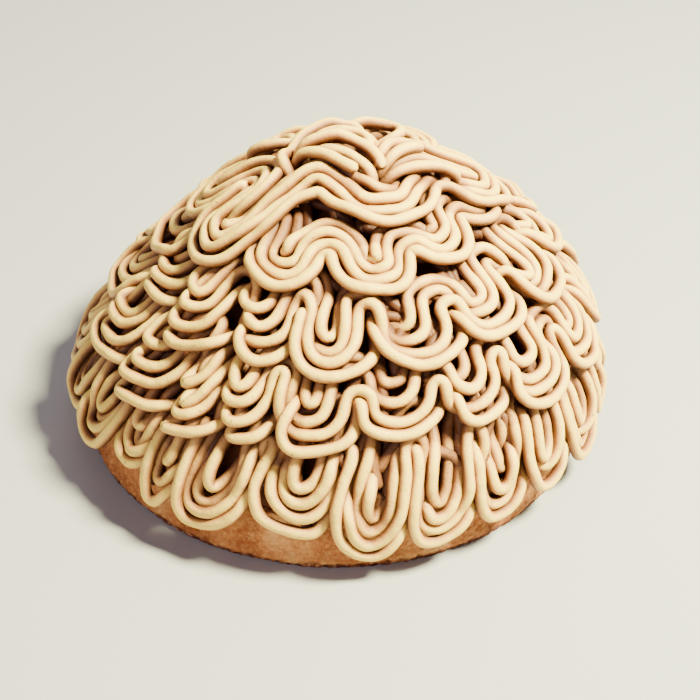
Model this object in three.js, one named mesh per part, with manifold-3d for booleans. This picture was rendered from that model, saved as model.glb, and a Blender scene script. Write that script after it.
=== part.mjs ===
// Round chestnut cream tart: a baked tart shell under a tall dome of piped chestnut cream.
// The cream is piped in ribbons of four strands that run up and down in hanging loops, tier over
// tier from the rim to the top. Millimetres, +Z up, origin at the centre of the flat underside.
import * as THREE from 'three';
import { mergeVertices } from 'three/addons/utils/BufferGeometryUtils.js';
import Module from 'manifold-3d';

const wasm = await Module();
wasm.setup();

// Tart shell
const CRUST_RADIUS = 75.0;
const CRUST_HEIGHT = 15.0;
const CRUST_TAPER = 3.2;
const CRUST_LIP = 0.9;
const CRUST_CRAG = 0.55;
const CRUST_SIDES = 72;
const CRUST_GAP = 0.4;

// Dome of cream
const DOME_RADIUS = 80.0;
const DOME_TOP = 89.0;
const DOME_BELLY = 12.0;
const DOME_SKIRT = 12.0;
const DOME_LEAN = 7.0;
const DOME_BEND = 1.7;
const DOME_ROUND = 0.8;

// Piped strands
const STRAND = 4.5;
const PITCH = 4.6;
const SWELL = 1.0;
const STATIONS = [0, 0.4, 0.7, 0.87, 1];
const VALLEY = 1.5;
const SLIT = 2.6;
const ROOT = 9.0;
const CORE_DEPTH = 7.0;
const CORE_SIDES = 20;
const CORE_RINGS = 5;

// Tiers from the rim to the top. The tops of the loops lie at arc length rise from the crown and
// their bottoms at drop, gap degrees apart. loops lists the bottoms on the front as
// [degrees from the front, arc length from the crown, height it stands out by if more than its
// neighbours]; the rest of the ring is filled evenly.
const TIERS = [
  { strands: 3, rise: 88, drop: 117.5, gap: 15.6, tuck: -3.2, stand: 0.4,
    loops: [[-50, 112, 1], [-39.5, 119], [-29, 118.5], [-8.5, 114.5], [6, 122], [20, 120],
      [34.5, 119], [48, 119, 1], [62, 120, 1.5], [77, 119, 1], [91, 117.5, 1]] },
  { strands: 3, rise: 67, drop: 95, gap: 21.5, tuck: -3.6, stand: 0.8,
    loops: [[-82, 96, 2], [-62, 97, 1.5], [-44, 96], [-31, 92], [-13, 91], [8, 86.5], [28, 87],
      [48, 92]] },
  { strands: 3, rise: 46, drop: 73, gap: 27, tuck: -3.6, stand: 0.8,
    loops: [[-84, 76, 1.2], [-60, 78, 1], [-34, 70.5], [-12, 71], [15, 68], [44, 68]] },
  { strands: 4, rise: 24, drop: 47, gap: 37, tuck: -3.6, stand: 1.0,
    loops: [[-108, 48, 2.5], [-70, 52], [-34, 50], [0, 46], [40, 43.5]] },
  { strands: 4, rise: 12, drop: 27.5, gap: 75, tuck: -2, stand: 1.2,
    loops: [[-118, 30, 0.5], [-56, 30], [17, 25]] },
  { strands: 3, rise: 3, drop: 14, gap: 120, tuck: 1.5, stand: 2.5, loops: [[-35, 15], [75, 13]] },
];
const SEED = 20241;

// One run of numbers in -1..1 for the small irregularities of hand piping
let seedState = SEED;
function wander(amount) {
  seedState = (seedState * 48271) % 2147483647;
  return (seedState / 2147483647 * 2 - 1) * amount;
}

// Meridian of the dome, as arc length from the crown against radius and height
const meridian = [];
for (let i = 0; i <= 400; i += 1) {
  const t = 1 - (1 - i / 400) ** 2;
  meridian.unshift([DOME_RADIUS * (1 - t ** DOME_BEND) ** DOME_ROUND,
    DOME_BELLY + (DOME_TOP - DOME_BELLY) * t]);
}
for (let i = 1; i <= 24; i += 1) {
  const drop = DOME_SKIRT * i / 24;
  meridian.push([DOME_RADIUS - 0.02 * drop * drop, DOME_BELLY - drop]);
}
const arc = [0];
for (let i = 1; i < meridian.length; i += 1) {
  const dr = meridian[i][0] - meridian[i - 1][0];
  const dz = meridian[i][1] - meridian[i - 1][1];
  arc.push(arc[i - 1] + Math.hypot(dr, dz));
}

function onMeridian(s) {
  const last = arc.length - 1;
  if (s <= 0) return meridian[0];
  if (s >= arc[last]) return meridian[last];
  let lo = 0;
  let hi = last;
  while (hi - lo > 1) {
    const mid = (lo + hi) >> 1;
    if (arc[mid] <= s) lo = mid; else hi = mid;
  }
  const f = (s - arc[lo]) / (arc[hi] - arc[lo]);
  return [meridian[lo][0] + f * (meridian[hi][0] - meridian[lo][0]),
    meridian[lo][1] + f * (meridian[hi][1] - meridian[lo][1])];
}

// The dome's rings drift sideways by this much between belly and crown
function lean(z) {
  const t = Math.min(1, Math.max(0, (z - DOME_BELLY) / (DOME_TOP - DOME_BELLY)));
  return DOME_LEAN * Math.sin(Math.PI * t ** 1.3);
}

// Point and outward normal at an angle from the front and an arc length from the crown
function normalAt(degrees, s) {
  const [r0, z0] = onMeridian(s - 0.5);
  const [r1, z1] = onMeridian(s + 0.5);
  const length = Math.hypot(r1 - r0, z1 - z0) || 1;
  const angle = degrees * Math.PI / 180;
  const out = (z0 - z1) / length;
  const up = (r1 - r0) / length;
  return new THREE.Vector3(out * Math.sin(angle), -out * Math.cos(angle), up);
}

function onDome(degrees, s, height) {
  const [r, z] = onMeridian(s);
  const angle = degrees * Math.PI / 180;
  const point = new THREE.Vector3(lean(z) + r * Math.sin(angle), -r * Math.cos(angle), z);
  return point.addScaledVector(normalAt(degrees, s), height);
}

// The angle and arc length under a point near the dome, seen from the middle of its base
const bearings = meridian.map(([r, z]) => Math.atan2(z - 14, r));
function footOf(point) {
  const x = point.x - lean(point.z);
  const b = Math.atan2(point.z - 14, Math.hypot(x, point.y));
  let lo = 0;
  let hi = bearings.length - 1;
  while (hi - lo > 1) {
    const mid = (lo + hi) >> 1;
    if (bearings[mid] >= b) lo = mid; else hi = mid;
  }
  const f = Math.min(1, Math.max(0, (bearings[lo] - b) / (bearings[lo] - bearings[hi])));
  return [Math.atan2(x, -point.y) * 180 / Math.PI, arc[lo] + f * (arc[hi] - arc[lo])];
}

// Turning points of one tier's ribbon, top and bottom by turns right round the dome
function turnsOf(tier) {
  const loops = tier.loops.map((loop) => [...loop]);
  const from = loops[loops.length - 1][0];
  const to = loops[0][0] + 360;
  const more = Math.max(1, Math.round((to - from) / tier.gap) - 1);
  for (let i = 1; i <= more; i += 1) {
    const angle = from + (to - from) * i / (more + 1) + wander(tier.gap * 0.12);
    loops.push([angle, tier.drop + wander(2.5), wander(0.7)]);
  }
  const width = tier.strands * PITCH;
  return loops.map(([angle, s, lift = 0], i) => {
    const before = i > 0 ? loops[i - 1][0] : loops[loops.length - 1][0] - 360;
    return { bottom: { angle, s: s - width / 2, lift },
      top: { angle: (before + angle) / 2 + wander(2), s: tier.rise + wander(1.5) } };
  });
}

// A line of the ribbon at offset from its middle, at v from a top turn (0) to a bottom turn (1).
// x runs from the middle of the arch (0) to the middle of the loop (1).
function ribbonLine(top, bottom, offset, width, v) {
  const swing = v + SWELL * Math.sin(2 * Math.PI * v) / (2 * Math.PI);
  let x = swing - offset / width * Math.sin(Math.PI * v);
  if (Math.abs(offset) > 0.49 * width) x = x < 0.1 ? 0 : x > 0.86 ? 1 : x;
  const s = top.s + (bottom.s - top.s) * (1 - Math.cos(Math.PI * v)) / 2 + offset;
  return { x, s };
}

// The net of one tier: ridges along the strands, valleys between, and slits between the legs
function tierGeometry(tier) {
  const turns = turnsOf(tier);
  const n = turns.length;
  const width = tier.strands * PITCH;
  const lines = 2 * tier.strands + 1;
  const position = [];
  const index = [];
  const ids = new Map();
  const vertex = (angle, s, height) => {
    const p = onDome(angle, s, height);
    const key = [p.x, p.y, p.z].map((c) => Math.round(c * 200)).join();
    if (!ids.has(key)) {
      ids.set(key, position.length / 3);
      position.push(p.x, p.y, p.z);
    }
    return ids.get(key);
  };
  const mean = (a, b) => ({ s: (a.s + b.s) / 2, lift: ((a.lift ?? 0) + (b.lift ?? 0)) / 2 });
  // one half loop: top turn to bottom turn, with the turns beyond for the lines they share
  const half = (top, bottom, beyondTop, beyondBottom, flip) => {
    const net = STATIONS.map((v, j) => {
      const row = [];
      for (let k = 0; k < lines; k += 1) {
        // the covered crown of an arch has only its two edges and its middle
        const m = j === 0 ? Math.round(2 * k / (lines - 1)) / 2 * (lines - 1) : k;
        const offset = (m / (lines - 1) - 0.5) * width;
        const atInner = m === 0;
        const atOuter = m === lines - 1;
        const useTop = atInner ? mean(top, beyondTop) : top;
        const useBottom = atOuter ? mean(bottom, beyondBottom) : bottom;
        const last = j === STATIONS.length - 1;
        const first = j === 0;
        const line = ribbonLine(first ? top : useTop, last ? bottom : useBottom, offset, width, v);
        const free = line.x > 0 && line.x < 1;
        const down = (line.s - tier.rise) / (tier.drop - tier.rise);
        const reach = Math.min(1.1, Math.max(-0.3, down));
        const shared = first ? mean(bottom, beyondBottom) : useBottom;
        const lift = (last ? bottom : shared).lift * Math.max(0, reach);
        const ridge = tier.tuck + (tier.stand - tier.tuck) * reach + lift;
        const angle = top.angle + (bottom.angle - top.angle) * line.x;
        let depth = 0;
        if (m % 2 === 0) depth = VALLEY;
        if ((atInner || atOuter) && !free) depth = SLIT;
        if (atOuter && (last || free)) depth = STRAND / 2;
        // lines that would pass the crown meet there
        if (atInner && line.s < 0.8) row.push({ angle: 0, s: 0, height: tier.tuck });
        else row.push({ angle, s: Math.max(line.s, 0.6 + 0.7 * m), height: ridge - depth });
      }
      return row;
    });
    const at = net.map((row) => row.map((p) => vertex(p.angle, p.s, p.height)));
    for (let j = 0; j + 1 < at.length; j += 1) {
      for (let m = 0; m + 1 < lines; m += 1) {
        const quad = [at[j][m], at[j][m + 1], at[j + 1][m + 1], at[j + 1][m]];
        if (flip) quad.reverse();
        const [a, b, c, d] = quad;
        if (a !== b && b !== c && a !== c) index.push(a, b, c);
        if (a !== c && c !== d && a !== d) index.push(a, c, d);
      }
    }
    return net;
  };
  for (let i = 0; i < n; i += 1) {
    const here = turns[i];
    const next = turns[(i + 1) % n];
    const prior = turns[(i + n - 1) % n];
    const far = { angle: next.top.angle + (i + 1 === n ? 360 : 0), s: next.top.s };
    half(here.top, here.bottom, next.top, prior.bottom, false);
    half(far, here.bottom, here.top, next.bottom, true);
  }
  // walls: every edge with one triangle is carried down to the root
  const edges = new Map();
  for (let i = 0; i < index.length; i += 3) {
    for (let j = 0; j < 3; j += 1) {
      const a = index[i + j];
      const b = index[i + (j + 1) % 3];
      if (edges.has(b + ' ' + a)) edges.delete(b + ' ' + a);
      else edges.set(a + ' ' + b, [a, b]);
    }
  }
  const below = new Map();
  const sink = (a) => {
    if (!below.has(a)) {
      const p = new THREE.Vector3(position[3 * a], position[3 * a + 1], position[3 * a + 2]);
      const [angle, s] = footOf(p);
      p.addScaledVector(normalAt(angle, s), -ROOT);
      below.set(a, position.length / 3);
      position.push(p.x, p.y, p.z);
    }
    return below.get(a);
  };
  const inner = [];
  for (const [a, b] of edges.values()) {
    const c = sink(a);
    const d = sink(b);
    index.push(b, a, c, b, c, d);
    inner.push([c, d]);
  }
  // inner sheet between the two root loops, zipped together by angle
  const follow = new Map(inner);
  const rims = [];
  while (follow.size) {
    const rim = [];
    let at = follow.keys().next().value;
    while (follow.has(at)) {
      rim.push(at);
      const next = follow.get(at);
      follow.delete(at);
      at = next;
    }
    rims.push(rim);
  }
  const bearing = (a) => Math.atan2(position[3 * a] - lean(position[3 * a + 2]), -position[3 * a + 1]);
  const wrapped = (x) => Math.atan2(Math.sin(x), Math.cos(x));
  const unwind = (rim) => {
    const angles = [bearing(rim[0])];
    for (let i = 1; i <= rim.length; i += 1) {
      const step = wrapped(bearing(rim[i % rim.length]) - bearing(rim[i - 1]));
      angles.push(angles[i - 1] + step);
    }
    return angles;
  };
  const finish = () => {
    const geometry = new THREE.BufferGeometry();
    geometry.setAttribute('position', new THREE.Float32BufferAttribute(position, 3));
    geometry.setIndex(index);
    return geometry;
  };
  if (rims.length === 1) {
    const centre = position.length / 3;
    const p = onDome(0, 0, tier.tuck - ROOT);
    position.push(p.x, p.y, p.z);
    for (const [c, d] of inner) index.push(d, c, centre);
    return finish();
  }
  let [one, two] = rims;
  if (unwind(one).at(-1) < unwind(one)[0]) [one, two] = [two, one];
  two = two.slice().reverse();
  const start = unwind(one)[0];
  let best = 0;
  two.forEach((a, i) => {
    const gap = Math.abs(wrapped(bearing(a) - start));
    if (gap < Math.abs(wrapped(bearing(two[best]) - start))) best = i;
  });
  two = [...two.slice(best), ...two.slice(0, best)];
  const ones = unwind(one);
  const offset = wrapped(bearing(two[0]) - start) + start - bearing(two[0]);
  const twos = unwind(two).map((x) => x + offset);
  let i = 0;
  let j = 0;
  while (i < one.length || j < two.length) {
    const a = one[i % one.length];
    const b = two[j % two.length];
    const stepOne = j >= two.length || (i < one.length && ones[i + 1] <= twos[j + 1]);
    if (stepOne) {
      i += 1;
      index.push(one[i % one.length], a, b);
    } else {
      j += 1;
      index.push(b, two[j % two.length], a);
    }
  }
  return finish();
}

function toSolid(geometry) {
  const clean = geometry.clone();
  clean.deleteAttribute('normal');
  clean.deleteAttribute('uv');
  const merged = mergeVertices(clean, 1e-5);
  const make = (triangles) => new wasm.Manifold(new wasm.Mesh({
    numProp: 3,
    vertProperties: Float32Array.from(merged.attributes.position.array),
    triVerts: triangles,
  }));
  const triangles = Uint32Array.from(merged.index.array);
  const solid = make(triangles);
  if (solid.volume() > 0) return solid;
  return make(triangles.reverse());
}

function toMesh(name, solid, material) {
  const mesh = solid.getMesh();
  const geometry = new THREE.BufferGeometry();
  const flat = new Float32Array(mesh.numVert * 3);
  for (let i = 0; i < mesh.numVert; i += 1) {
    for (let j = 0; j < 3; j += 1) flat[3 * i + j] = mesh.vertProperties[mesh.numProp * i + j];
  }
  geometry.setAttribute('position', new THREE.BufferAttribute(flat, 3));
  geometry.setIndex(new THREE.BufferAttribute(Uint32Array.from(mesh.triVerts), 1));
  geometry.computeVertexNormals();
  const made = new THREE.Mesh(geometry, material);
  made.name = name;
  return made;
}

// Tart shell: a low disc that leans in towards its top, with a browned lip and a crumbly side
function crustRadius(z) {
  const rise = z / CRUST_HEIGHT;
  const lip = CRUST_LIP * Math.exp(-(((z - 2.2) / 1.8) ** 2));
  return CRUST_RADIUS - CRUST_LIP - CRUST_TAPER * rise * rise + lip;
}
const crustLevels = [0, 1.6, 3.2, 5.2, 7.6, 10.2, 12.8, CRUST_HEIGHT];
function crust() {
  const rows = [new THREE.Vector2(0, 0)];
  for (const z of crustLevels) rows.push(new THREE.Vector2(crustRadius(z), z));
  rows.push(new THREE.Vector2(0, CRUST_HEIGHT));
  const geometry = new THREE.LatheGeometry(rows, CRUST_SIDES);
  const p = geometry.attributes.position;
  for (let i = 0; i < p.count; i += 1) {
    const radius = Math.hypot(p.getX(i), p.getZ(i));
    const z = p.getY(i);
    if (radius > 1 && z > 0 && z < CRUST_HEIGHT) {
      const steps = Math.round(Math.atan2(p.getZ(i), p.getX(i)) / (2 * Math.PI) * CRUST_SIDES);
      const turn = (steps + CRUST_SIDES) % CRUST_SIDES;
      const crag = Math.abs(Math.sin(turn * 12.9898 + z * 37.719) * 43758.5453) % 1;
      const f = (radius - CRUST_CRAG * crag) / radius;
      p.setX(i, p.getX(i) * f);
      p.setZ(i, p.getZ(i) * f);
    }
  }
  geometry.rotateX(Math.PI / 2);
  return toSolid(geometry);
}

// Room for the shell, cut out of the cream with a gap all round
function crustRoom() {
  const rows = [new THREE.Vector2(0, -2), new THREE.Vector2(CRUST_RADIUS + 1.2, -2),
    new THREE.Vector2(CRUST_RADIUS + 1.2, 4),
    new THREE.Vector2(CRUST_RADIUS - CRUST_LIP - CRUST_TAPER + 1.6, CRUST_HEIGHT + CRUST_GAP),
    new THREE.Vector2(0, CRUST_HEIGHT + CRUST_GAP)];
  const geometry = new THREE.LatheGeometry(rows, 28);
  geometry.rotateX(Math.PI / 2);
  return toSolid(geometry);
}

// Core of the cream, under the strands
function core() {
  const rows = [];
  const bottom = CRUST_HEIGHT - 7;
  rows.push(new THREE.Vector2(0, bottom));
  const s0 = arc[arc.length - 1] - DOME_SKIRT;
  const shell = [];
  for (let i = 0; i <= CORE_RINGS; i += 1) {
    const s = s0 * (1 - i / CORE_RINGS);
    const [r, z] = onMeridian(s);
    const n = normalAt(90, s);
    shell.push([Math.max(0, r - CORE_DEPTH * n.x), z - CORE_DEPTH * n.z]);
  }
  shell[CORE_RINGS][0] = 0;
  rows.push(new THREE.Vector2(shell[0][0], bottom));
  for (const [r, z] of shell) if (z > bottom + 0.5) rows.push(new THREE.Vector2(r, z));
  const geometry = new THREE.LatheGeometry(rows, CORE_SIDES);
  geometry.rotateX(Math.PI / 2);
  const p = geometry.attributes.position;
  for (let i = 0; i < p.count; i += 1) p.setX(i, p.getX(i) + lean(p.getZ(i)));
  return toSolid(geometry);
}

let cream = core();
for (const tier of TIERS) cream = cream.add(toSolid(tierGeometry(tier)));
cream = cream.subtract(crustRoom());
// Hollows sealed between ribbons and core are filled: only the outer skin is kept
const skins = cream.decompose().sort((a, b) => b.volume() - a.volume());
cream = skins[0];

const shell = crust();

const tart = new THREE.Group();
tart.name = 'chestnut_cream_tart';
tart.add(toMesh('tart_crust', shell,
  new THREE.MeshStandardMaterial({ color: 0xb97842, roughness: 0.85, metalness: 0 })));
tart.add(toMesh('chestnut_cream', cream,
  new THREE.MeshStandardMaterial({ color: 0xe2c193, roughness: 0.62, metalness: 0 })));

export default tart;
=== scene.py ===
# Looks of a round chestnut cream tart: piped strands over a dome, and the baked shell below.
# Metres in the scene; the lengths in the tables and in the strand sums are millimetres.
import math
import bpy
import numpy as np
from mathutils import Matrix, Vector, noise


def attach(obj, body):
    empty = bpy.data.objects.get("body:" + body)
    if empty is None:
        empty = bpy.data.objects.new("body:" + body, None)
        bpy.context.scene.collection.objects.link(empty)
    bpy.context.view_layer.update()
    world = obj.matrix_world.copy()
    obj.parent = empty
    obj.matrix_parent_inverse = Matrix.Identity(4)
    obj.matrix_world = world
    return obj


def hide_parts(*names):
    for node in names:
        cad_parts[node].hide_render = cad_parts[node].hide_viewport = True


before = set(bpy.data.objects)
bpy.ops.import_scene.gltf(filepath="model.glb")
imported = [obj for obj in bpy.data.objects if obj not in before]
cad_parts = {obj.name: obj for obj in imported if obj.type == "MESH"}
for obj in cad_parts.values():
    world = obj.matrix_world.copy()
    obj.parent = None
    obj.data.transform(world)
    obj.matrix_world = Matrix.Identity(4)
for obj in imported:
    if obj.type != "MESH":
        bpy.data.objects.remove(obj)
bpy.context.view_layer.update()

MM = 0.001

# ---------------------------------------------------------------- measures, as in the solids
CRUST_RADIUS, CRUST_HEIGHT, CRUST_TAPER, CRUST_LIP = 75.0, 15.0, 3.2, 0.9
DOME_RADIUS, DOME_TOP, DOME_BELLY, DOME_SKIRT = 80.0, 89.0, 12.0, 12.0
DOME_LEAN, DOME_BEND, DOME_ROUND = 7.0, 1.7, 0.8
DOME_ROWS, SKIRT_ROWS = 400, 24
STRAND, PITCH = 4.5, 4.6      # thickness of a strand of the solids, and the spacing of two
# how far loops vary by seed: the further ones' place, as a share of the gap, lower end and extra
# height, then the angle and the place of the tops of all
GAP_WANDER, DROP_WANDER, LIFT_WANDER, TOP_WANDER, RISE_WANDER = 0.12, 2.5, 0.7, 2, 1.5
SEED = 20241

# ---------------------------------------------------------------- the plan of the strands
# The tiers of hanging loops, from the rim up.
# strands: the ribbon's width, in strands of the solids; rise, drop: arc length from the crown to
# the loops' tops and bottoms; gap: degrees between loops; tuck, stand: height over the dome at
# tops and bottoms; slant: (full from, none from, degrees) by which the tops stand aside on the
# left; laid, fine: the strands laid in the ribbon and their spacing; loops: (degrees, drop, extra
# height); parallel: whether the strands keep side by side round every turn. Where they don't,
# under: how far their tops go on below the next tier; spread: how far apart the strands of a leg
# lie, as a share of the leg's room; skew: sideways shift of each lower strand, as a share of its
# distance; round: how much rounder the outer strands turn.
TIERS = [
    dict(strands=3, rise=88, drop=117.5, gap=15.6, tuck=-3.2, stand=0.4, slant=(-60, -30, 3),
         parallel=False, laid=4, fine=4.0, under=6, spread=0.60, skew=0.05, round=0.3,
         loops=[(-50, 112, 1), (-39.5, 119, 0), (-29, 118.5, 0), (-8.5, 114.5, 0), (6, 122, 0),
                (20, 120, 0), (34.5, 119, 0), (48, 119, 1), (62, 120, 1.5), (77, 119, 1),
                (91, 117.5, 1)]),
    dict(strands=3, rise=67, drop=95, gap=21.5, tuck=-1.6, stand=0.8, slant=(-50, -15, 9),
         parallel=False, laid=4, fine=4.2, under=-1, spread=0.62, skew=0.26, round=0.6,
         loops=[(-82, 96, 2), (-62, 97, 1.5), (-44, 96, 0), (-31, 92, 0), (-13, 91, 0),
                (8, 86.5, 0), (28, 87, 0), (48, 92, 0)]),
    dict(strands=3, rise=46, drop=73, gap=27, tuck=-1.6, stand=0.8, slant=(-68, -40, 10),
         parallel=False, laid=4, fine=4.1, under=-1, spread=0.62, skew=0.26, round=0.5,
         loops=[(-84, 76, 1.2), (-60, 78, 1), (-34, 70.5, 0), (-12, 71, 0), (15, 68, 0),
                (44, 68, 0)]),
    dict(strands=4, rise=24, drop=47, gap=37, tuck=-1.4, stand=1.0, slant=(-75, -50, 12),
         parallel=True, laid=4, fine=3.3,
         loops=[(-112, 48, 2.5), (-76, 52, 0), (-38, 51, 0), (8, 48, 0), (47, 44.5, 0)]),
    dict(strands=3, rise=3, drop=14, gap=120, tuck=-3.8, stand=-3.2, slant=(-60, -30, 0),
         parallel=False, laid=4, fine=3.6, under=0, spread=0.60, skew=0.10, round=0.0,
         loops=[(-35, 15, 0), (75, 13, 0)]),
]
SLANT_ENDS = (-135, -100)     # degrees behind the left side where a slant fades out

# the ribbon round the crown, over the tiers: (x, y) along its middle, then its strands,
# their spacing and its height over the dome at the crown and at its loops' ends
RING = [(-27, -17.5), (-21, -16), (-15.5, -13.6), (-10, -11), (-5.3, -10), (-1.4, -12),
        (2.6, -16), (8.2, -19.3), (14.2, -18.8), (18.6, -14.8), (20.6, -9.5), (22.5, -4.5),
        (27.5, -2.2), (34, -2.5), (40, 1), (43, 7.5), (39.5, 14), (33, 13.5), (27.5, 11.5),
        (23, 15.5), (23, 22.5), (17, 27.5), (10.5, 25), (6.5, 19.5), (1, 17.5), (-4, 21),
        (-9, 27), (-16.5, 27), (-19.5, 21), (-17.5, 15.5), (-21.5, 11.5), (-28.5, 13),
        (-35, 12.5), (-37, 6.5), (-31.5, 2.5), (-25, 2), (-20.5, -1.5), (-22, -5.5),
        (-28, -7.2), (-34.5, -9), (-33, -17)]
RING_STRANDS, RING_FINE, RING_HIGH, RING_LOW = 4, 3.1, 0.8, 1.9
RING_FROM, RING_OVER = 12, 18     # arc length from which its height changes, and over which

# loose strands on the crown: (x, y, height over the dome) along each
CROWN = [
    [(-12, -6, -4), (-8.5, -1, -0.8), (-7.5, 3, 0.0), (-4, 7.5, 0.4), (0.5, 9, 0.6), (5, 8.5, 0.4),
     (9, 5.5, 0.0), (11, 0.5, -0.6), (13, -5, -4)],
    [(-6, -1, -3), (-4, 3, 0.0), (0, 5.2, 0.4), (4.5, 5, 0.4), (8, 2.5, 0.0), (9, -3, -1),
     (8, -8, -4)],
    [(13, -9, -4), (15.5, -4.5, 0.0), (19.5, -1, 0.3), (23.5, 1, 0.2), (27, 0, 0.0),
     (29, -4, -0.6), (27, -9, -4)],
    [(12, -11, -4), (15, -8, 0.0), (20, -5, 0.2), (25, -3.5, 0.2), (30, -3.5, -0.2),
     (34, -1, -4)],
    [(-27, 12, -4), (-22, 10.5, -0.2), (-17, 8.5, 0.0), (-12, 8.5, 0.0), (-6, 9, -4)],
    [(-14, -6, -4), (-14.5, -1, -0.2), (-12.5, 4, 0.0), (-8.5, 8.5, 0.0), (-3, 12, 0.0),
     (3, 13.5, -0.4), (9, 12, -4)],
    [(8, 8, -4), (13, 10, -0.6), (17, 13, -0.4), (16, 18, -0.8), (10, 19, -0.6), (5, 15, -0.6),
     (0, 13, -4)],
    [(9, -6, -4), (11, -2.5, -0.6), (13, 2, 0.0), (16, 6, 0.2), (19.5, 6.5, 0.0), (21, 3, -0.2),
     (18, 0, -0.2), (14, -4, -0.6), (12, -9, -4)],
    [(-12, 0, -4), (-5, -2, 0.0), (-1, -4, 0.2), (2.5, -5.5, 0.2), (5.5, -8, 0.0),
     (8, -11, -0.6), (10, -15, -4)],
    [(-14, 1, -4), (-8, 0, -0.2), (-1, 0.5, 0.4), (4, -1, 0.4), (8, -3.5, 0.2), (10.2, -7, 0.0),
     (10.6, -10.5, -0.4)],
    [(-14, -2, -4), (-10, -2.5, -0.4), (-6.8, -4, 0.2), (-3, -6.2, 0.4), (0.5, -9, 0.3),
     (5, -11.8, 0.2)],
]

LOOSE = 9              # further loose strands on the crown, deeper down
TUCKED = -2.2          # below this height a loose strand lies under the others
STRAYS = 280           # short strands deep in the heap
STRAY_REACH = 7.0      # spacing of the points along them
STRAY_HEIGHT = -6.0    # their height over the dome
STRAY_STEP = 1.6       # spacing of the rings along them
STRAY_SHADE = 0.30      # how much darker their painted shade is
STRAY_SIDES = 8        # their sides
THICK = 3.25           # a strand's thickness
STEP = 1.1             # spacing of the rings along a strand
SIDES = 12             # sides of a strand
FLAT, WIDE = 0.97, 1.02       # its section's height and width, as shares of a circle's
NEAREST = 0.8          # how near the crown's middle a tier's strand may come
LEG_ROWS = 28          # points along each leg of a loop
PARALLEL_ROWS = 40     # the same where strands keep side by side
PARALLEL_SOFTEN = 60   # how often those are smoothed
SOFTEN = 6             # how often a tier's strands are smoothed before they settle
BENDS = [(31.0, 0.40), (17.0, 0.40), (9.0, 0.22), (5.5, 0.15)]    # slow bends: (length, size)
SWELLS = [(13, 0.035), (5, 0.02)]     # thicker and thinner places: (length, share)
UNEVEN = 0.05          # unevenness of a strand's skin, as a share of its radius
TIP = 1.7              # length over which an open strand's end rounds off
SIDE_PAINTED_SHADE = 3.3             # how fast the painted shade deepens down a strand's side
COVER_PAINTED_SHADE = 0.6          # how fast the painted shade deepens below the strands around
SHADE_FROM, SHADE_RANGE = 0.2, 5.4      # the depth where the painted shade starts, and its range
CORE_DEPTH = 9.0       # depth of the core under the dome

# How the strands settle. Two that overlap keep a share of the full height step between them,
# beside each other in a bundle or crossing; the lower one takes a share of the push.
STEP_BESIDE, STEP_CROSSING = 0.55, 0.95
GIVE_SAME, GIVE_TIERS, GIVE_CROWN, GIVE_TUCKED = 0.55, 0.68, 0.08, 0.85
# how far a strand may stand over its place, and how far it may sink under it or the dome
ROOF_TIERS, ROOF_CROWN, SINK, DEEPEST = 1.6, 3.8, 6.5, 9.0
# the sideways share of a push, once they settle in all directions
FIRM_TIERS, FIRM_CROWN = 0.6, 0.12
SWEEPS_UP, SWEEPS_ALL, LOOK_EVERY = 30, 36, 6
SELF_APART = 2.2       # a strand may touch itself from this many thicknesses along it
SAME_LEG = 0.9         # half-loops apart up to which two strands count as one bundle
LOOK_WIDER = 0.8       # how much further than touching a neighbour is looked for
SHARED = 0.55          # how much a ring is held back by each further neighbour
SPRING = 0.97          # how much of its shift a ring keeps

# ---------------------------------------------------------------- the dome
class Wander:
    """The same run of small numbers in -1..1 as the solids use."""
    def __init__(self, seed):
        self.state = seed

    def __call__(self, amount):
        self.state = self.state * 48271 % 2147483647
        return (self.state / 2147483647 * 2 - 1) * amount


def make_meridian():
    """Radius, height and arc length down the dome's outline, from the crown to the skirt."""
    t = 1 - (1 - np.arange(DOME_ROWS + 1) / DOME_ROWS) ** 2
    r = DOME_RADIUS * (1 - t ** DOME_BEND) ** DOME_ROUND
    z = DOME_BELLY + (DOME_TOP - DOME_BELLY) * t
    drop = DOME_SKIRT * np.arange(1, SKIRT_ROWS + 1) / SKIRT_ROWS
    r = np.concatenate([r[::-1], DOME_RADIUS - 0.02 * drop * drop])
    z = np.concatenate([z[::-1], DOME_BELLY - drop])
    arc = np.concatenate([[0], np.cumsum(np.hypot(np.diff(r), np.diff(z)))])
    return r, z, arc


MER_R, MER_Z, MER_ARC = make_meridian()


def lean(z):
    """How far the dome leans to the right at a height."""
    t = np.clip((z - DOME_BELLY) / (DOME_TOP - DOME_BELLY), 0, 1)
    return DOME_LEAN * np.sin(np.pi * t ** 1.3)


def normal_at(angle, s):
    """The dome's outward direction; angles run from the front to the right."""
    a = np.radians(angle)
    dr = np.interp(s + 0.5, MER_ARC, MER_R) - np.interp(s - 0.5, MER_ARC, MER_R)
    dz = np.interp(s + 0.5, MER_ARC, MER_Z) - np.interp(s - 0.5, MER_ARC, MER_Z)
    length = np.hypot(dr, dz) + 1e-9
    out, up = -dz / length, dr / length
    return np.stack([out * np.sin(a), -out * np.cos(a), up], -1)


def on_dome(angle, s, height):
    """Points over the dome at an arc length from the crown."""
    a = np.radians(angle)
    r, z = np.interp(s, MER_ARC, MER_R), np.interp(s, MER_ARC, MER_Z)
    foot = np.stack([lean(z) + r * np.sin(a), -r * np.cos(a), z], -1)
    return foot + normal_at(angle, s) * np.asarray(height)[..., None]


def radius_at(s, least):
    """The dome's radius at an arc length, but never less than least."""
    return np.maximum(least, np.interp(s, MER_ARC, MER_R))


def run_along(points):
    """Length from the first point to each."""
    return np.concatenate([[0], np.cumsum(np.linalg.norm(np.diff(points, axis=0), axis=1))])


def soften(values, times):
    """Smooths a row of values in place, with its ends held."""
    for _ in range(times):
        values[1:-1] = 0.25 * values[:-2] + 0.5 * values[1:-1] + 0.25 * values[2:]


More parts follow.
